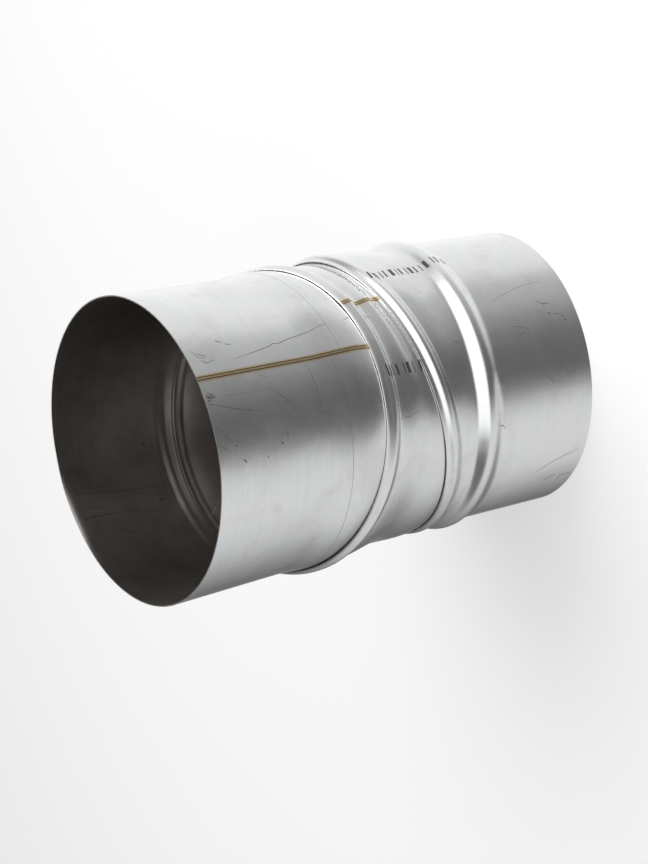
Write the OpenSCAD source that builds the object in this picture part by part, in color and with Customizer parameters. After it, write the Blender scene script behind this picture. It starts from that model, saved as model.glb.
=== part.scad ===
// Adjustable flue elbow, 0 to 45 degrees: three sheet steel sections joined by two oblique swivel beads.
// It stands on its socket. The origin is the centre of the socket's edge, and +Z runs up the socket's axis.

/* [Sheet and pipe] */
// Outside diameter of the pipe that the elbow continues
pipe_d = 160; // [120:1:200]
// Thickness of the sheet
sheet = 0.6; // [0.4:0.1:1]

/* [Socket] */
// Radial clearance between the socket and the pipe that it takes
socket_clearance = 0.4; // [0.1:0.1:0.5]
// Depth of the socket, from its edge to the stop bead
socket_depth = 60; // [40:1:80]
// Width of the stop bead along the axis
stop_bead_w = 19; // [14:1:30]
// Height of the stop bead above the pipe
stop_bead_h = 4; // [2:0.2:6]

/* [Elbow] */
// Tilt of each swivel plane: the two swivels bend the elbow by up to four times this angle
tilt = 11.25; // [5:0.25:15]
// Plain wall on the short side of the socket section
socket_wall = 2.2; // [1.8:0.1:60]
// Plain wall on the short side of the middle section
middle_wall = 14.5; // [6:0.5:80]
// Wall on the long side of the spigot section, between its swivel and the straight spigot
spigot_neck = 6; // [3:0.5:40]
// Length of the straight spigot
spigot_len = 64.5; // [40:1:120]
// Turn of the middle section on the lower swivel
lower_turn = -64.5; // [-180:0.5:180]
// Turn of the spigot section on the upper swivel
upper_turn = -21; // [-180:0.5:180]

/* [Swivel beads] */
// Width of a rolled bead
bead_w = 9.5; // [8:0.5:12]
// Height of a rolled bead
bead_h = 1.8; // [1.2:0.1:2.6]
// Running clearance between the two sheets of a bead
bead_gap = 0.35; // [0.3:0.05:0.5]
// Free lip of the outer sheet above its bead
lip_w = 1; // [0.5:0.1:2]
// Foot of the outer sheet below its bead
foot_w = 1.8; // [1.6:0.1:3]
// Collar of the inner sheet above the outer sheet's lip
collar_w = 2; // [1:0.5:5]
// Part of the bead that the inner sheet lacks, below its cut edge
cut_back = 2.5; // [2:0.1:3.5]

/* [Hidden] */
$fn = 128;
steel = "lightsteelblue";

pipe_r = pipe_d / 2;
socket_r = pipe_r + socket_clearance + sheet;
// A collar is as wide as the long axis of the pipe's oblique section
collar_r = pipe_r / cos(tilt);
// How far a collar's short side lies below its centre
drop = collar_r * sin(tilt);

// Heights on a swivel's axis, from the middle of its bead
bead_top = bead_w / 2;
lip_top = bead_top + lip_w;
collar_top = lip_top + collar_w;
foot_end = -bead_top - foot_w;
inner_end = -bead_top + cut_back;

// Heights on the sections' own axes
stop_bead_top = socket_depth + stop_bead_w;
lower_swivel = stop_bead_top + socket_wall + drop - foot_end * cos(tilt);
middle_len = middle_wall + 2 * drop + (collar_top - foot_end) * cos(tilt);
middle_waist = (middle_len + (collar_top + foot_end) * cos(tilt)) / 2;
neck_top = drop + collar_top * cos(tilt) + spigot_neck;

// Steps of a bead's curve, sides of a neck, and how far a neck laps its neighbours
bead_steps = 12;
neck_sides = 96;
lap = 0.2;
// How far a neck's faces stand proud of its neighbours, outside and inside
proud_out = 0.01;
proud_in = 0.15;

function reverse(v) = [for (i = [len(v) - 1:-1:0]) v[i]];
function unit(v) = v / norm(v);

// A half wave that climbs from 0 to 1 as u goes from 0 to 1
function rise(u) = (1 - cos(180 * u)) / 2;

// Outward normal of a curve of [radius, height] points that runs upwards
function curve_normal(c, i) =
    let (d = unit(c[min(i + 1, len(c) - 1)] - c[max(i - 1, 0)]))
    [d[1], -d[0]];

// The closed outline of a sheet, of which the curve is the outer face
function sheet_outline(c) =
    concat(c, reverse([for (i = [0:len(c) - 1]) c[i] - sheet * curve_normal(c, i)]));

// Outer face of the socket, its stop bead and the start of the pipe
socket_curve = concat(
    [[socket_r, 0]],
    [for (i = [0:bead_steps])
        let (u = i / bead_steps)
        [socket_r + (pipe_r + stop_bead_h - socket_r) * rise(u), socket_depth + u * stop_bead_w / 2]],
    [for (i = [1:bead_steps])
        let (u = i / bead_steps)
        [pipe_r + stop_bead_h * rise(1 - u), socket_depth + (1 + u) * stop_bead_w / 2]],
    [[pipe_r, stop_bead_top + 3 * lap]]
);

// Outer face of the inner sheet of a swivel, from its cut edge up to its collar
inner_curve = concat(
    [for (i = [0:bead_steps])
        let (s = inner_end + (bead_top - inner_end) * i / bead_steps)
        [collar_r + bead_h * rise(1 - abs(s) / bead_top), s]],
    [[collar_r, collar_top]]
);

// Outer face of the outer sheet of a swivel, from its foot up to its lip
outer_curve = concat(
    [[collar_r, foot_end - 2 * lap]],
    [for (i = [0:bead_steps])
        let (u = i / bead_steps)
        [collar_r + (bead_h + bead_gap + sheet) * rise(u), foot_end * (1 - u)]],
    [for (i = [1:bead_steps])
        let (u = i / bead_steps)
        [collar_r + bead_gap + sheet + bead_h * rise(1 - u), bead_top * u]],
    [[collar_r + bead_gap + sheet, lip_top]]
);

// A ring of points: a circle tilted about Y, moved by step along its own normal
function ring(r, z, tip, step) =
    [for (i = [0:neck_sides - 1])
        let (a = 360 * i / neck_sides)
        [r * cos(a) * cos(tip) + step * sin(tip),
         r * sin(a),
         z - r * cos(a) * sin(tip) + step * cos(tip)]];

// A neck: sheet lofted through sections that are given as [radius, height, tip, step]
module neck(sections) {
    n = neck_sides;
    rings = len(sections);
    outer = [for (s = sections) each ring((s[0] + proud_out) / cos(180 / n), s[1], s[2], s[3])];
    inner = [for (s = sections) each ring(s[0] - sheet - proud_in, s[1], s[2], s[3])];
    m = n * rings;
    top = n * (rings - 1);
    faces = [for (i = [0:n - 1])
        let (j = (i + 1) % n)
        each concat(
            [for (k = [0:rings - 2])
                let (a = n * k, b = a + n)
                each [[a + i, b + i, b + j],
                      [a + i, b + j, a + j],
                      [m + a + j, m + b + j, m + b + i],
                      [m + a + j, m + b + i, m + a + i]]],
            [[top + j, top + i, m + top + i],
             [top + j, m + top + i, m + top + j],
             [i, j, m + j],
             [i, m + j, m + i]]
        )];
    polyhedron(points = concat(outer, inner), faces = faces, convexity = 6);
}

// Turns a part that is drawn about a pipe's axis on a swivel whose axis is tipped from it
module swivel(height, tip, turn)
    translate([0, 0, height])
        rotate([0, tip, 0])
            rotate([0, 0, turn])
                rotate([0, -tip, 0])
                    children();

module rolled_sheet(curve)
    rotate_extrude()
        polygon(sheet_outline(curve));

module socket_section()
    color(steel)
        union() {
            rolled_sheet(socket_curve);
            neck([[pipe_r, stop_bead_top + 2 * lap, 0, 0],
                  [pipe_r, stop_bead_top + 4 * lap, 0, 0],
                  [collar_r, lower_swivel, tilt, foot_end - 3 * lap],
                  [collar_r, lower_swivel, tilt, foot_end - lap]]);
            translate([0, 0, lower_swivel])
                rotate([0, tilt, 0])
                    rolled_sheet(outer_curve);
        }

module middle_section()
    color(steel)
        swivel(lower_swivel, tilt, lower_turn)
            union() {
                rotate([0, tilt, 0])
                    rolled_sheet(inner_curve);
                neck([[collar_r, 0, tilt, collar_top - lap],
                      [collar_r, 0, tilt, collar_top + lap],
                      [pipe_r, middle_waist, 0, 0],
                      [collar_r, middle_len, -tilt, foot_end - 3 * lap],
                      [collar_r, middle_len, -tilt, foot_end - lap]]);
                translate([0, 0, middle_len])
                    rotate([0, -tilt, 0])
                        rolled_sheet(outer_curve);
            }

module spigot_section()
    color(steel)
        swivel(lower_swivel, tilt, lower_turn)
            swivel(middle_len, -tilt, upper_turn)
                union() {
                    rotate([0, -tilt, 0])
                        rolled_sheet(inner_curve);
                    neck([[collar_r, 0, -tilt, collar_top - lap],
                          [collar_r, 0, -tilt, collar_top + lap],
                          [pipe_r, neck_top - lap, 0, 0],
                          [pipe_r, neck_top + lap, 0, 0]]);
                    translate([0, 0, neck_top])
                        rolled_sheet([[pipe_r, 0], [pipe_r, spigot_len]]);
                }

socket_section();
middle_section();
spigot_section();
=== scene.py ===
"""Looks of an adjustable flue elbow: three stainless sheet sections on two oblique swivel beads."""
import math

import bpy
import numpy as np
from mathutils import Matrix, Vector
from mathutils.bvhtree import BVHTree


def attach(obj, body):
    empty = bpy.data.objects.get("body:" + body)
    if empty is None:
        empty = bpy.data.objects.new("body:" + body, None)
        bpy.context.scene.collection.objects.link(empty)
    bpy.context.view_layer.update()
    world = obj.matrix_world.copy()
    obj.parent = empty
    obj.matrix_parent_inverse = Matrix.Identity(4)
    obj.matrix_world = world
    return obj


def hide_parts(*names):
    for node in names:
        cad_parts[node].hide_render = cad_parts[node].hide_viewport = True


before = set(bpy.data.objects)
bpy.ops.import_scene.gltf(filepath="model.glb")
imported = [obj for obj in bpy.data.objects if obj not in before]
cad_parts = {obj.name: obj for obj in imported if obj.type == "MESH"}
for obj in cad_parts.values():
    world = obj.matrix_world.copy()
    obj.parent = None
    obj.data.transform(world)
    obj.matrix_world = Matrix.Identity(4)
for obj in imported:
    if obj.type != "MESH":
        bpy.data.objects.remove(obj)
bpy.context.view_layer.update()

MM = 0.001

# Sizes of the solids, in millimetres and degrees
PIPE_R = 80.0
SHEET = 0.6
SOCKET_R = 81.0
SOCKET_DEPTH = 60.0
STOP_BEAD_W = 19.0
STOP_BEAD_H = 4.0
TILT = math.radians(11.25)
SOCKET_WALL = 2.2
MIDDLE_WALL = 14.5
SPIGOT_NECK = 6.0
SPIGOT_LEN = 64.5
LOWER_TURN = math.radians(-64.5)
UPPER_TURN = math.radians(-21.0)
BEAD_W = 9.5
BEAD_H = 1.8
BEAD_GAP = 0.35
LIP_W = 1.0
FOOT_W = 1.8
COLLAR_W = 2.0
CUT_BACK = 2.5

COLLAR_R = PIPE_R / math.cos(TILT)
DROP = COLLAR_R * math.sin(TILT)
BEAD_TOP = BEAD_W / 2
LIP_TOP = BEAD_TOP + LIP_W
COLLAR_TOP = LIP_TOP + COLLAR_W
FOOT_END = -BEAD_TOP - FOOT_W
INNER_END = -BEAD_TOP + CUT_BACK
STOP_BEAD_TOP = SOCKET_DEPTH + STOP_BEAD_W
LOWER_SWIVEL = STOP_BEAD_TOP + SOCKET_WALL + DROP - FOOT_END * math.cos(TILT)
MIDDLE_LEN = MIDDLE_WALL + 2 * DROP + (COLLAR_TOP - FOOT_END) * math.cos(TILT)
WAIST = (MIDDLE_LEN + (COLLAR_TOP + FOOT_END) * math.cos(TILT)) / 2
NECK_TOP = DROP + COLLAR_TOP * math.cos(TILT) + SPIGOT_NECK
RIM = NECK_TOP + SPIGOT_LEN

SIDES = 360
ANGLES = np.linspace(0, 2 * math.pi, SIDES, endpoint=False)


# ---------------------------------------------------------------- sheet forms

def rise(u):
    return (1 - np.cos(math.pi * u)) / 2


def ring(r, z, tip, step):
    """A circle tilted about Y and moved along its own normal."""
    c, s = np.cos(ANGLES), np.sin(ANGLES)
    return np.stack([r * c * math.cos(tip) + step * math.sin(tip),
                     r * s,
                     z - r * c * math.sin(tip) + step * math.cos(tip)], axis=1)


def rings(curve, z, tip):
    return [ring(r, z, tip, s) for r, s in curve]


def neck(lower, upper, lower_tip, upper_tip, steps):
    """Rings between two others that leave each along its own axis, so that no crease shows."""
    span = np.linalg.norm(upper - lower, axis=1)[:, None]
    a = np.array([math.sin(lower_tip), 0, math.cos(lower_tip)]) * span
    b = np.array([math.sin(upper_tip), 0, math.cos(upper_tip)]) * span
    out = []
    for i in range(1, steps):
        t = i / steps
        out.append((2 * t**3 - 3 * t**2 + 1) * lower + (t**3 - 2 * t**2 + t) * a
                   + (3 * t**2 - 2 * t**3) * upper + (t**3 - t**2) * b)
    return out


def inner_bead():
    """Outer face of the inner sheet, from its cut edge up to its collar."""
    s = np.linspace(INNER_END, BEAD_TOP, 22)
    curve = [(COLLAR_R + BEAD_H * rise(1 - abs(v) / BEAD_TOP), v) for v in s]
    return curve + [(COLLAR_R, v) for v in np.linspace(BEAD_TOP, COLLAR_TOP, 5)[1:]]


def outer_bead():
    """Outer face of the outer sheet, from its foot up to its free lip."""
    low = [(COLLAR_R + (BEAD_H + BEAD_GAP + SHEET) * rise(u), FOOT_END * (1 - u)) for u in np.linspace(0, 1, 20)]
    top = [(COLLAR_R + BEAD_GAP + SHEET + BEAD_H * rise(1 - u), BEAD_TOP * u) for u in np.linspace(0, 1, 17)[1:]]
    return low + top + [(COLLAR_R + BEAD_GAP + SHEET, v) for v in (BEAD_TOP + 0.5, LIP_TOP)]


def socket_bead():
    """Outer face of the socket with its stop bead."""
    low = [(SOCKET_R, v) for v in np.linspace(0, SOCKET_DEPTH, 40)[:-1]]
    up = [(SOCKET_R + (PIPE_R + STOP_BEAD_H - SOCKET_R) * rise(u), SOCKET_DEPTH + u * STOP_BEAD_W / 2)
          for u in np.linspace(0, 1, 22)]
    down = [(PIPE_R + STOP_BEAD_H * rise(1 - u), SOCKET_DEPTH + (1 + u) * STOP_BEAD_W / 2)
            for u in np.linspace(0, 1, 22)[1:]]
    return low + up + down


def turn(height, tip, angle):
    m = (Matrix.Translation((0, 0, height)) @ Matrix.Rotation(tip, 4, "Y")
         @ Matrix.Rotation(angle, 4, "Z") @ Matrix.Rotation(-tip, 4, "Y"))
    return m


MIDDLE_AT = turn(LOWER_SWIVEL, TILT, LOWER_TURN)
SPIGOT_AT = MIDDLE_AT @ turn(MIDDLE_LEN, -TILT, UPPER_TURN)


def angle_gap(a, b):
    """Signed difference of two angles in degrees, from -180 to 180."""
    return (a - b + 180) % 360 - 180


def bump(v, centre, width):
    return np.exp(-((v - centre) / width) ** 2)


def unevenness(points, seam, seed):
    """How far the sheet stands off its true form, in millimetres: gentle waves and the weld's low ridge."""
    rng = np.random.default_rng(seed)
    angle = np.degrees(np.arctan2(points[..., 1], points[..., 0]))
    z = points[..., 2]
    off = np.zeros(z.shape)
    for k in range(9):
        lobes = rng.integers(2, 11)
        off += (0.10 / lobes) * np.sin(np.radians(lobes * angle) + z / rng.uniform(16, 55) + rng.uniform(0, 6.28))
    arc = np.radians(angle_gap(angle, seam)) * PIPE_R
    off += 0.30 * np.exp(-np.abs(arc) / 5.5)
    return off


def rim_dents(points):
    """The spigot's edge: pressed in at one place, its last millimetres turned out there, and a little oval."""
    angle = np.degrees(np.arctan2(points[..., 1], points[..., 0]))
    below = RIM - points[..., 2]
    off = 0.55 * np.cos(np.radians(2 * (angle + 77))) * np.exp(-below / 40)
    off -= 1.5 * bump(angle_gap(angle, 5), 0, 15) * np.exp(-((below - 6) / 16) ** 2)
    off += 0.9 * bump(angle_gap(angle, 2), 0, 20) * np.exp(-below / 1.6)
    off -= 0.5 * bump(angle_gap(angle, -22), 0, 9) * np.exp(-below / 14)
    off += 0.35 * bump(angle_gap(angle, 150), 0, 14) * np.exp(-below / 10)
    return off


def sheet_piece(name, stack, place, seam, seed, extra=None):
    """Closed sheet from a stack of rings: outer face, inner face and the two cut edges."""
    outer = np.array(stack)
    away = np.roll(outer, -1, axis=1) - np.roll(outer, 1, axis=1)
    climb = np.gradient(outer, axis=0)
    normal = np.cross(away, climb)
    normal /= np.linalg.norm(normal, axis=2)[..., None]
    off = unevenness(outer, seam, seed)
    if extra is not None:
        off = off + extra(outer)
    local = np.concatenate([outer.reshape(-1, 3), (outer - normal * SHEET).reshape(-1, 3)])
    inner = outer - normal * SHEET + normal * off[..., None]
    moved = outer + normal * off[..., None]
    verts = np.concatenate([moved.reshape(-1, 3), inner.reshape(-1, 3)])
    m = np.array(place)
    verts = (verts @ m[:3, :3].T + m[:3, 3]) * MM
    count = len(stack)
    n = SIDES
    base = count * n
    faces, slots = [], []
    for k in range(count - 1):
        for i in range(n):
            j = (i + 1) % n
            a, b = k * n, (k + 1) * n
            faces.append((a + i, a + j, b + j, b + i))
            slots.append(0)
            faces.append((base + a + j, base + a + i, base + b + i, base + b + j))
            slots.append(1)
    top = (count - 1) * n
    for i in range(n):
        j = (i + 1) % n
        faces.append((i, base + i, base + j, j))
        faces.append((top + i, top + j, base + top + j, base + top + i))
        slots += [2, 2]
    mesh = bpy.data.meshes.new(name)
    mesh.from_pydata(verts.tolist(), [], faces)
    mesh.polygons.foreach_set("material_index", slots)
    mesh.polygons.foreach_set("use_smooth", [s != 2 for s in slots])
    at = mesh.attributes.new("sheet_pos", "FLOAT_VECTOR", "POINT")
    at.data.foreach_set("vector", local.astype(np.float32).ravel())
    mesh.update()
    mesh.set_sharp_from_angle(angle=math.radians(50))
    piece = bpy.data.objects.new(name, mesh)
    bpy.context.scene.collection.objects.link(piece)
    return piece


# ---------------------------------------------------------------- materials

class Graph:
    """Short names for building a node tree."""

    def __init__(self, name):
        self.material = bpy.data.materials.new(name)
        self.material.use_nodes = True
        self.tree = self.material.node_tree
        self.tree.nodes.clear()

    def node(self, kind, **inputs):
        n = self.tree.nodes.new(kind)
        for key, value in inputs.items():
            if key in ("operation", "blend_type", "data_type", "attribute_name", "noise_dimensions", "feature",
                       "interpolation_type", "normalize", "clamp"):
                setattr(n, key, value)
        return n

    def link(self, a, b):
        self.tree.links.new(a, b)

    def math(self, op, a, b=None, clamp=False):
        n = self.tree.nodes.new("ShaderNodeMath")
        n.operation = op
        n.use_clamp = clamp
        for i, v in enumerate((a, b)):
            if v is None:
                continue
            if isinstance(v, (int, float)):
                n.inputs[i].default_value = v
            else:
                self.link(v, n.inputs[i])
        return n.outputs[0]

    def dot(self, vector, direction):
        n = self.tree.nodes.new("ShaderNodeVectorMath")
        n.operation = "DOT_PRODUCT"
        self.link(vector, n.inputs[0])
        n.inputs[1].default_value = direction
        return n.outputs["Value"]

    def stretch(self, vector, scale):
        n = self.tree.nodes.new("ShaderNodeVectorMath")
        n.operation = "MULTIPLY"
        self.link(vector, n.inputs[0])
        n.inputs[1].default_value = scale
        return n.outputs["Vector"]

    def noise(self, vector, scale, detail=3.0, rough=0.5, distortion=0.0):
        n = self.tree.nodes.new("ShaderNodeTexNoise")
        self.link(vector, n.inputs["Vector"])
        n.inputs["Scale"].default_value = scale
        n.inputs["Detail"].default_value = detail
        n.inputs["Roughness"].default_value = rough
        n.inputs["Distortion"].default_value = distortion
        return n.outputs["Fac"]

    def ramp(self, value, stops, mode="LINEAR"):
        n = self.tree.nodes.new("ShaderNodeValToRGB")
        n.color_ramp.interpolation = mode
        band = n.color_ramp
        while len(band.elements) < len(stops):
            band.elements.new(0.5)
        for e, (at, colour) in zip(band.elements, stops):
            e.position = at
            e.color = (*colour, 1) if not isinstance(colour, (int, float)) else (colour, colour, colour, 1)
        self.link(value, n.inputs["Fac"])
        return n.outputs["Color"]

    def mix(self, factor, a, b, blend="MIX"):
        n = self.tree.nodes.new("ShaderNodeMix")
        n.data_type = "RGBA"
        n.blend_type = blend
        for socket, v in ((n.inputs[0], factor), (n.inputs[6], a), (n.inputs[7], b)):
            if isinstance(v, (int, float)):
                socket.default_value = v
            elif isinstance(v, tuple):
                socket.default_value = (*v, 1)
            else:
                self.link(v, socket)
        return n.outputs[2]


def stainless(name, seam, seed, side):
    """Rolled stainless sheet. side is 'outside', 'inside' or 'edge'; 'inside' is a much darker copy of the same steel,
    with painted shade of the tube's hollow in its colour.
    """
    g = Graph(name)
    out = g.node("ShaderNodeOutputMaterial")
    steel = g.node("ShaderNodeBsdfPrincipled")
    steel.inputs["Metallic"].default_value = 1.0
    g.link(steel.outputs[0], out.inputs[0])
    at = g.tree.nodes.new("ShaderNodeAttribute")
    at.attribute_name = "sheet_pos"
    pos = at.outputs["Vector"]
    shifted = g.tree.nodes.new("ShaderNodeVectorMath")
    shifted.operation = "ADD"
    g.link(pos, shifted.inputs[0])
    shifted.inputs[1].default_value = (seed * 37.0, seed * 11.0, seed * 53.0)
    pos_s = shifted.outputs["Vector"]

    # Rolling grain runs round the section, so it changes quickly along the axis only
    grain = g.noise(g.stretch(pos_s, (0.06, 0.06, 5.0)), 1.0, 4.0, 0.65)
    streaks = g.noise(g.stretch(pos_s, (0.012, 0.012, 0.55)), 1.0, 3.0, 0.6)
    clouds = g.noise(pos_s, 0.022, 4.0, 0.6, 0.6)
    blotches = g.noise(pos_s, 0.055, 5.0, 0.62, 0.4)
    dust = g.noise(pos_s, 1.3, 2.0, 0.5)

    if side == "outside":
        colour = g.ramp(clouds, [(0.30, (0.70, 0.70, 0.70)), (0.50, (0.765, 0.775, 0.785)), (0.72, (0.80, 0.80, 0.795))])
        stained = g.ramp(blotches, [(0.54, 0.0), (0.74, 1.0)])
        colour = g.mix(g.math("MULTIPLY", stained, 0.30), colour, (0.60, 0.545, 0.475))
        colour = g.mix(0.10, colour, streaks, "MULTIPLY")
        specks = g.ramp(dust, [(0.715, 0.0), (0.745, 1.0)])
        near = g.ramp(blotches, [(0.45, 0.0), (0.60, 1.0)])
        colour = g.mix(g.math("MULTIPLY", g.math("MULTIPLY", specks, near), 0.55), colour, (0.10, 0.09, 0.085))
        # Heat tint of the lengthwise weld: two fine dark lines in a straw-coloured halo
        a = math.radians(seam)
        across = g.math("ABSOLUTE", g.dot(pos, (-math.sin(a), math.cos(a), 0)))
        front = g.math("GREATER_THAN", g.dot(pos, (math.cos(a), math.sin(a), 0)), 0.0)
        wobble = g.math("MULTIPLY", g.math("SUBTRACT", g.noise(pos_s, 0.35, 3.0), 0.5), 0.5)
        reach = g.math("DIVIDE", g.math("ADD", across, wobble), 4.0, clamp=True)
        tint = g.ramp(reach, [(0.0, (0.55, 0.47, 0.33)), (0.08, (0.52, 0.42, 0.27)), (0.13, (0.10, 0.06, 0.035)),
                              (0.20, (0.13, 0.08, 0.045)), (0.26, (0.50, 0.36, 0.17)), (0.38, (0.66, 0.57, 0.42)),
                              (0.60, (0.74, 0.71, 0.66))])
        cover = g.ramp(reach, [(0.0, 1.0), (0.36, 0.95), (0.75, 0.0)])
        colour = g.mix(g.math("MULTIPLY", cover, front), colour, tint)
        rough = g.ramp(clouds, [(0.3, 0.215), (0.7, 0.285)])
        rough = g.math("ADD", rough, g.math("MULTIPLY", stained, 0.08))
    elif side == "inside":
        # Painted shade: the inside faces get a far darker base colour than the same steel outside, standing in for the
        # shade within the tube; the blotches below are stains.
        colour = g.ramp(clouds, [(0.30, (0.285, 0.262, 0.245)), (0.70, (0.37, 0.345, 0.325))])
        colour = g.mix(0.22, colour, streaks, "MULTIPLY")
        stained = g.ramp(blotches, [(0.52, 0.0), (0.76, 1.0)])
        colour = g.mix(g.math("MULTIPLY", stained, 0.35), colour, (0.20, 0.17, 0.15))
        rough = g.ramp(clouds, [(0.3, 0.34), (0.7, 0.42)])
    else:
        colour = g.ramp(dust, [(0.3, (0.62, 0.62, 0.61)), (0.7, (0.86, 0.86, 0.85))])
        rough = g.ramp(dust, [(0.3, 0.30), (0.7, 0.45)])
    g.link(colour, steel.inputs["Base Color"])
    g.link(rough, steel.inputs["Roughness"])

    height = g.math("ADD", g.math("MULTIPLY", grain, 0.35), g.math("MULTIPLY", streaks, 1.0))
    lift = g.node("ShaderNodeBump")
    lift.inputs["Strength"].default_value = 0.22 if side == "outside" else 0.4
    lift.inputs["Distance"].default_value = 0.00006
    g.link(height, lift.inputs["Height"])
    dents = g.node("ShaderNodeBump")
    dents.inputs["Strength"].default_value = 0.30
    dents.inputs["Distance"].default_value = 0.0010
    g.link(g.noise(pos_s, 0.045, 2.0, 0.45), dents.inputs["Height"])
    g.link(dents.outputs["Normal"], lift.inputs["Normal"])
    g.link(lift.outputs["Normal"], steel.inputs["Normal"])
    return g.material


def ink(name, colour, rough):
    g = Graph(name)
    out = g.node("ShaderNodeOutputMaterial")
    film = g.node("ShaderNodeBsdfPrincipled")
    g.link(film.outputs[0], out.inputs[0])
    where = g.tree.nodes.new("ShaderNodeTexCoord").outputs["Object"]
    worn = g.noise(where, 900.0, 4.0, 0.7)
    pale = tuple(min(1.0, c * 2.6 + 0.02) for c in colour)
    g.link(g.ramp(worn, [(0.42, colour), (0.68, pale)]), film.inputs["Base Color"])
    film.inputs["Roughness"].default_value = rough
    return g.material


# ---------------------------------------------------------------- sections

SEAMS = {"spigot": -178.9, "middle": -180.0, "socket": -75.0}

low_ring = outer_bead()
socket_stack = rings(socket_bead(), 0, 0)
foot = rings(low_ring, LOWER_SWIVEL, TILT)
socket_stack += neck(socket_stack[-1], foot[0], 0, TILT, 8) + foot

collar = rings(inner_bead(), 0, TILT)
waist = ring(PIPE_R, WAIST, 0, 0)
foot = rings(low_ring, MIDDLE_LEN, -TILT)
middle_stack = (collar + neck(collar[-1], waist, TILT, 0, 14) + [waist]
                + neck(waist, foot[0], 0, -TILT, 14) + foot)

collar = rings(inner_bead(), 0, -TILT)
tube = [ring(PIPE_R, z, 0, 0) for z in np.linspace(NECK_TOP, RIM - 6, 34)]
tube += [ring(PIPE_R, z, 0, 0) for z in np.linspace(RIM - 6, RIM, 13)[1:]]
spigot_stack = collar + neck(collar[-1], tube[0], -TILT, 0, 20) + tube

SECTIONS = (("socket", "socket_section", socket_stack, Matrix.Identity(4), 3, None),
            ("middle", "middle_section", middle_stack, MIDDLE_AT, 5, None),
            ("spigot", "spigot_section", spigot_stack, SPIGOT_AT, 8, rim_dents))
PLACES = {}
for body, node, stack, place, seed, extra in SECTIONS:
    piece = sheet_piece(body + "_sheet", stack, place, SEAMS[body], seed, extra)
    for side in ("outside", "inside", "edge"):
        piece.data.materials.append(stainless(f"stainless_{body}_{side}", SEAMS[body], seed, side))
    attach(piece, body)
    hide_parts(node)
    tree = BVHTree.FromObject(piece, bpy.context.evaluated_depsgraph_get())
    PLACES[body] = (place, tree)


# ---------------------------------------------------------------- marks on the sheet

def on_sheet(body, angle, z, inside=False):
    """Point and outward normal of a section's face at an angle and a height of its own frame."""
    place, tree = PLACES[body]
    a = math.radians(angle)
    out = Vector((math.cos(a), math.sin(a), 0))
    start = out * (20 if inside else 110) + Vector((0, 0, z))
    ray = out if inside else -out
    world_start = (place @ start) * MM
    world_ray = (place.to_3x3() @ ray).normalized()
    hit, normal, _, _ = tree.ray_cast(world_start, world_ray)
    return hit, normal


def stroke(body, path, width, inside=False, taper=True, lift=0.05):
    """Vertices and faces of a thin ribbon that lies on the sheet along a path of (angle, height)."""
    points = []
    for (a0, z0), (a1, z1) in zip(path[:-1], path[1:]):
        length = math.hypot(math.radians(a1 - a0) * PIPE_R, z1 - z0)
        steps = max(2, int(length / 0.8))
        points += [(a0 + (a1 - a0) * i / steps, z0 + (z1 - z0) * i / steps) for i in range(steps)]
    points.append(path[-1])
    seats = [on_sheet(body, a, z, inside) for a, z in points]
    seats = [(h, n) for h, n in seats if h is not None]
    verts, faces = [], []
    for i, (h, n) in enumerate(seats):
        along = (seats[min(i + 1, len(seats) - 1)][0] - seats[max(i - 1, 0)][0]).normalized()
        side = n.cross(along).normalized()
        u = i / max(1, len(seats) - 1)
        w = width * MM / 2 * ((0.35 + 0.65 * math.sin(math.pi * min(1, max(0, u)))) if taper else 1)
        for s in (-1, 1):
            verts.append(h + n * lift * MM + side * w * s)
    for i in range(len(seats) - 1):
        faces.append((2 * i, 2 * i + 1, 2 * i + 3, 2 * i + 2))
    return verts, faces


def marks(name, body, strokes, material):
    verts, faces = [], []
    for path, width, options in strokes:
        v, f = stroke(body, path, width, **options)
        faces += [tuple(i + len(verts) for i in q) for q in f]
        verts += v
    mesh = bpy.data.meshes.new(name)
    mesh.from_pydata([tuple(v) for v in verts], [], faces)
    mesh.materials.append(material)
    mesh.polygons.foreach_set("use_smooth", [True] * len(faces))
    piece = bpy.data.objects.new(name, mesh)
    bpy.context.scene.collection.objects.link(piece)
    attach(piece, body)
    return piece


def bars(angle, z_from, z_to, height, lean, pattern):
    """A row of plain ink bars, with no lettering: each entry is (share of the row, width in millimetres)."""
    out = []
    for share, width in pattern:
        z = z_from + (z_to - z_from) * share
        reach = math.degrees(height / 2 / PIPE_R)
        out.append(([(angle + lean * share - reach, z), (angle + lean * share + reach, z)], width,
                    {"taper": False, "lift": 0.06}))
    return out


PATTERN_LONG = [(0.00, 1.1), (0.055, 0.5), (0.095, 1.6), (0.16, 0.5), (0.21, 0.9), (0.30, 2.2), (0.37, 0.5), (0.42, 1.1),
                (0.50, 0.6), (0.56, 1.8), (0.63, 0.9), (0.70, 0.5), (0.76, 2.0), (0.84, 0.6), (0.90, 1.2), (1.00, 0.6)]
PATTERN_SHORT = [(0.00, 0.9), (0.13, 1.7), (0.26, 0.5), (0.38, 1.2), (0.55, 0.5), (0.66, 2.0), (0.82, 0.6), (1.00, 1.1)]

INK = ink("marking_ink", (0.020, 0.012, 0.022), 0.45)
GRIT = ink("scratch_grey", (0.055, 0.055, 0.058), 0.6)

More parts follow.
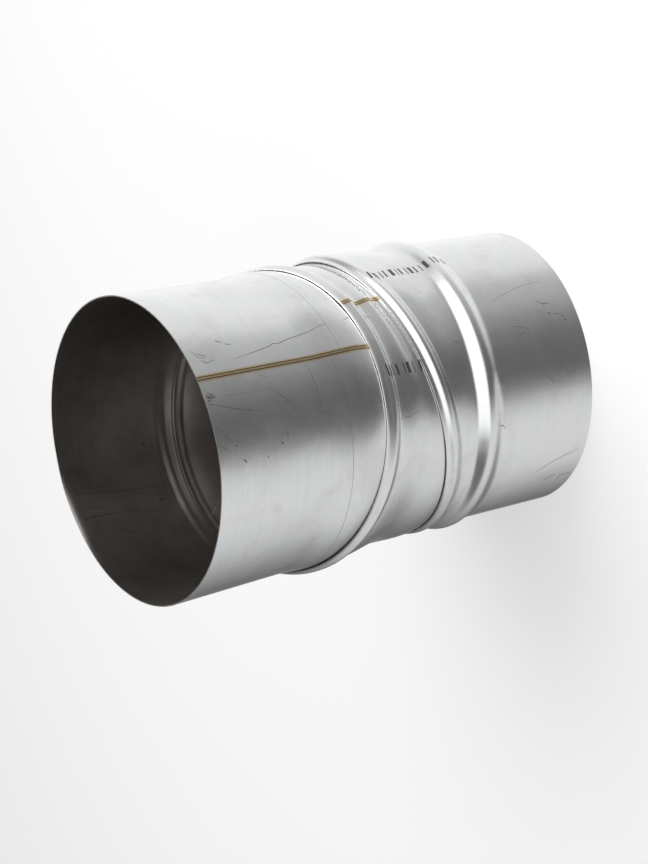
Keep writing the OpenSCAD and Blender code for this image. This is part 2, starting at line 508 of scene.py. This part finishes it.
marks("spigot_scratches", "spigot", [
    ([(-173.7, 68), (-172.9, 60), (-172.2, 54), (-171.3, 46), (-170.4, 43.5), (-170.9, 41), (-169.6, 33), (-168.9, 25),
      (-168.3, 19), (-167.2, 12), (-166.9, 8)], 0.34, {}),
    ([(-166.9, -3), (-166.2, -6), (-165.3, -10)], 0.26, {}),
    ([(171.9, 93), (170.2, 86), (168.4, 79), (166.8, 70), (165.7, 62)], 0.55, {}),
    ([(173.6, 85), (173.2, 71), (173.0, 56)], 0.16, {}),
    ([(173.0, 56), (171.2, 53), (168.6, 49.6), (165.8, 47), (163.4, 45)], 0.22, {}),
    ([(167.9, 55), (167.2, 51), (167.6, 47)], 0.5, {}), ([(169.4, 50), (166.0, 45)], 0.3, {}),
    ([(179.2, 15), (-179.4, 8), (-178.0, 2)], 0.18, {}), ([(170.2, 5), (168.6, 4.6), (168.0, 2.5), (169.8, 1.5)], 0.35, {}),
    ([(166.0, 28), (161.4, 32), (160.6, 29), (160.2, 24)], 0.25, {}), ([(178.0, 30), (170.0, 29), (160.0, 30)], 0.22, {}),
    ([(164.0, 93), (160.5, 88), (157.0, 85)], 0.3, {}), ([(158.0, 94), (156.0, 90), (154.5, 87)], 0.2, {}),
    ([(156.5, 53), (155.5, 52)], 0.8, {}), ([(153.9, 57), (153.2, 55.5)], 0.9, {}), ([(151.0, 80), (149.6, 78.4)], 0.8, {}),
    ([(156.4, 83.5), (155.4, 82.5)], 0.7, {}), ([(150.2, 66), (149.5, 65.2)], 0.6, {}),
    ([(-169.0, 88), (-171.0, 83)], 0.3, {}), ([(-167.5, 90), (-170.5, 88), (-171.5, 84)], 0.22, {}),
    ([(-172.0, 87), (-173.5, 85), (-172.6, 80)], 0.3, {}), ([(-165.0, 74), (-166.2, 71)], 0.5, {}),
    ([(-167.0, 70), (-167.8, 66.5)], 0.35, {}), ([(178.5, 60), (177.0, 55)], 0.18, {}),
    ([(40, 60), (52, 48), (58, 40)], 0.2, {}), ([(-95, 75), (-84, 70), (-70, 62)], 0.22, {}), ([(-40, 30), (-28, 44)], 0.18, {}),
    ([(88, 84), (80, 72)], 0.2, {}), ([(10, 20), (18, 12), (30, 10)], 0.2, {}),
], GRIT)
marks("spigot_burn", "spigot", [
    ([(174.6, 93), (174.0, 91), (173.8, 88)], 2.0, {}), ([(175.4, 92), (174.8, 88.5)], 0.8, {}),
    ([(172.8, 93), (173.0, 90)], 0.9, {})], GRIT)
marks("spigot_inside_scratches", "spigot", [
    ([(-6.4, 91), (-4.7, 67), (-2.0, 32)], 0.35, {"inside": True}),
    ([(4.7, 90), (4.4, 79), (4.8, 63)], 0.5, {"inside": True}), ([(5.2, 62), (7.4, 46), (9.0, 30)], 0.25, {"inside": True}),
    ([(0.5, 88), (1.0, 74)], 0.3, {"inside": True}), ([(12, 70), (16, 62)], 0.35, {"inside": True}),
    ([(-22, 40), (-20, 37)], 0.8, {"inside": True}), ([(3, 40), (3.5, 36)], 0.9, {"inside": True}),
    ([(24, 60), (30, 38)], 0.25, {"inside": True}), ([(-60, 80), (-62, 60)], 0.2, {"inside": True}),
], INK)
marks("middle_scratches", "middle", [
    ([(131.5, 46), (131.0, 36), (132.5, 28)], 0.2, {}), ([(146, 42), (141, 43)], 0.3, {}),
    ([(141, 44), (138.5, 45)], 0.35, {}), ([(174, 40), (172, 36)], 0.25, {}), ([(30, 30), (40, 38)], 0.2, {}),
    ([(-100, 22), (-92, 34)], 0.2, {}), ([(176, 30), (174.5, 27)], 0.25, {}),
], GRIT)
marks("socket_scratches", "socket", [
    ([(90.7, 84), (90.1, 81.5), (89.8, 79)], 0.35, {}), ([(83.5, 87), (83.9, 82), (83.2, 80), (84.3, 77)], 0.35, {}),
    ([(94.3, 18.6), (94.5, 17.4)], 1.9, {}), ([(94.2, 17), (93.9, 13.5), (92.6, 10), (91.2, 8.5), (90.6, 10.8), (90.9, 6.3)], 0.4, {}),
    ([(100.4, 23.5), (98.9, 19.5), (98.6, 14)], 0.35, {}), ([(97.8, 19.5), (99.4, 18.4)], 0.5, {}),
    ([(91.8, 44.7), (91.2, 39.7), (89.9, 35)], 0.32, {}), ([(86.7, 47), (87.8, 42.3), (89.4, 37.4)], 0.3, {}),
    ([(88.9, 41.5), (88.0, 40)], 0.45, {}), ([(80.8, 24.5), (75.5, 19.5), (70.2, 15.4)], 0.22, {}),
    ([(26.5, 33.6), (31.7, 22.3), (36.6, 4)], 0.22, {}), ([(19.4, 11.4), (21.7, 9.3), (22.1, 2.4)], 0.35, {}),
    ([(20.5, 22), (23.5, 14)], 0.3, {}), ([(55.4, 65), (54.9, 61.5), (53.2, 59.2)], 0.4, {}),
    ([(103.2, 53), (106.2, 40), (108.4, 28), (109, 14)], 0.16, {}), ([(70.5, 30), (67.5, 26)], 0.2, {}),
    ([(-30, 40), (-22, 28)], 0.22, {}), ([(-150, 48), (-140, 44), (-132, 36)], 0.2, {}), ([(170, 20), (160, 34)], 0.2, {}),
], GRIT)
marks("socket_ink_bars", "socket", bars(125.6, 113.0, 62.0, 6.0, 3.6, PATTERN_LONG), INK)
marks("middle_ink_bars", "middle", bars(149.7, 46.5, 20.5, 6.0, -1.5, PATTERN_SHORT), INK)


# ---------------------------------------------------------------- studio

def studio_world():
    """Soft boxes and dark cards round the object, by compass angle. What looks upwards sees the top light only."""
    world = bpy.data.worlds.new("studio")
    bpy.context.scene.world = world
    world.use_nodes = True
    tree = world.node_tree
    tree.nodes.clear()
    link = tree.links.new

    def node(kind):
        return tree.nodes.new(kind)

    def math_node(op, a, b):
        n = node("ShaderNodeMath")
        n.operation = op
        for i, v in enumerate((a, b)):
            if isinstance(v, (int, float)):
                n.inputs[i].default_value = v
            else:
                link(v, n.inputs[i])
        return n.outputs[0]

    def ramp(value, stops):
        n = node("ShaderNodeValToRGB")
        n.color_ramp.interpolation = "LINEAR"
        while len(n.color_ramp.elements) < len(stops):
            n.color_ramp.elements.new(0.5)
        for e, (at, level) in zip(n.color_ramp.elements, stops):
            e.position = at
            e.color = (level, level, level, 1)
        link(value, n.inputs["Fac"])
        return n.outputs["Color"]

    coords = node("ShaderNodeTexCoord").outputs["Generated"]
    split = node("ShaderNodeSeparateXYZ")
    link(coords, split.inputs[0])
    compass = math_node("ARCTAN2", split.outputs["Y"], split.outputs["X"])
    share = math_node("ADD", math_node("DIVIDE", compass, 2 * math.pi), 0.5)

    def stops(levels):
        """Compass angles from -180 to 180 with their levels, joined where the circle closes."""
        return [((a + 180) / 360, v) for a, v in levels]

    side = ramp(share, stops([(-180, 1.03), (-125, 1.20), (-103, 0.60), (-77, 0.13), (-53, 0.30), (-40, 0.44), (-28, 0.64),
                              (-14, 0.80), (10, 0.88), (34, 0.86), (46, 0.66), (56, 0.24), (66, 0.15), (90, 0.15),
                              (106, 0.22), (118, 0.36), (134, 0.52), (152, 0.60), (160, 0.94), (180, 1.03)]))
    above = ramp(share, stops([(-180, 0.35), (-60, 0.12), (15, 0.16), (40, 1.5), (140, 1.9), (165, 0.8), (180, 0.35)]))
    height = node("ShaderNodeMapRange")
    height.interpolation_type = "SMOOTHSTEP"
    height.inputs["From Min"].default_value = 0.05
    height.inputs["From Max"].default_value = 0.22
    link(split.outputs["Z"], height.inputs["Value"])
    high = node("ShaderNodeMapRange")
    high.interpolation_type = "SMOOTHSTEP"
    high.inputs["From Min"].default_value = 0.62
    high.inputs["From Max"].default_value = 0.80
    high.inputs["To Min"].default_value = 1.0
    high.inputs["To Max"].default_value = 0.30
    link(split.outputs["Z"], high.inputs["Value"])
    both = node("ShaderNodeMix")
    both.data_type = "RGBA"
    link(height.outputs["Result"], both.inputs[0])
    link(side, both.inputs[6])
    link(above, both.inputs[7])
    level = node("ShaderNodeMix")
    level.data_type = "RGBA"
    level.blend_type = "MULTIPLY"
    level.inputs[0].default_value = 1.0
    link(both.outputs[2], level.inputs[6])
    link(high.outputs["Result"], level.inputs[7])

    lit = node("ShaderNodeBackground")
    link(level.outputs[2], lit.inputs["Color"])
    seen = node("ShaderNodeBackground")
    seen.inputs["Color"].default_value = (1, 1, 1, 1)
    rays = node("ShaderNodeLightPath")
    pick = node("ShaderNodeMixShader")
    link(rays.outputs["Is Camera Ray"], pick.inputs[0])
    link(lit.outputs[0], pick.inputs[1])
    link(seen.outputs[0], pick.inputs[2])
    out = node("ShaderNodeOutputWorld")
    link(pick.outputs[0], out.inputs[0])


def studio_floor():
    """A white floor that keeps the shadow and lets the metal reflect the studio round it."""
    mesh = bpy.data.meshes.new("floor")
    mesh.from_pydata([(-6, -6, 0), (6, -6, 0), (6, 6, 0), (-6, 6, 0)], [], [(0, 1, 2, 3)])
    floor = bpy.data.objects.new("floor", mesh)
    bpy.context.scene.collection.objects.link(floor)
    g = Graph("floor_white")
    out = g.node("ShaderNodeOutputMaterial")
    matt = g.node("ShaderNodeBsdfDiffuse")
    matt.inputs["Color"].default_value = (0.9, 0.9, 0.9, 1)
    white = g.node("ShaderNodeEmission")
    white.inputs["Color"].default_value = (1, 1, 1, 1)
    clear = g.node("ShaderNodeBsdfTransparent")
    rays = g.node("ShaderNodeLightPath")
    lift = g.node("ShaderNodeMixShader")
    g.link(g.math("MULTIPLY", rays.outputs["Is Camera Ray"], 0.55), lift.inputs[0])
    g.link(matt.outputs[0], lift.inputs[1])
    g.link(white.outputs[0], lift.inputs[2])
    pick = g.node("ShaderNodeMixShader")
    g.link(rays.outputs["Is Glossy Ray"], pick.inputs[0])
    g.link(lift.outputs[0], pick.inputs[1])
    g.link(clear.outputs[0], pick.inputs[2])
    g.link(pick.outputs[0], out.inputs[0])
    mesh.materials.append(g.material)


def lamp(name, place, aim, size, watts):
    data = bpy.data.lights.new(name, "AREA")
    data.shape = "RECTANGLE"
    data.size, data.size_y = size
    data.energy = watts
    obj = bpy.data.objects.new(name, data)
    bpy.context.scene.collection.objects.link(obj)
    obj.location = place
    obj.rotation_euler = (Vector(aim) - Vector(place)).to_track_quat("-Z", "Y").to_euler()


studio_world()
studio_floor()
lamp("top_softbox", (-0.9, 0.3, 1.5), (0, 0, 0.1), (1.4, 1.4), 26)

# Camera: where the photograph was taken from, in the part's own frame
data = bpy.data.cameras.new("photo_view")
data.lens = 64.54
data.sensor_width = 36
data.clip_start = 0.01
camera = bpy.data.objects.new("photo_view", data)
bpy.context.scene.collection.objects.link(camera)
right = Vector((0.298215, 0.405584, -0.864042))
up = Vector((-0.937118, 0.296372, -0.184318))
back = Vector((0.181321, 0.864676, 0.468463))
turned = Matrix((right, up, back)).transposed().to_4x4()
camera.matrix_world = Matrix.Translation((0.172738, 0.748768, 0.536988)) @ turned
bpy.context.scene.camera = camera
bpy.context.scene.view_settings.view_transform = "Standard"
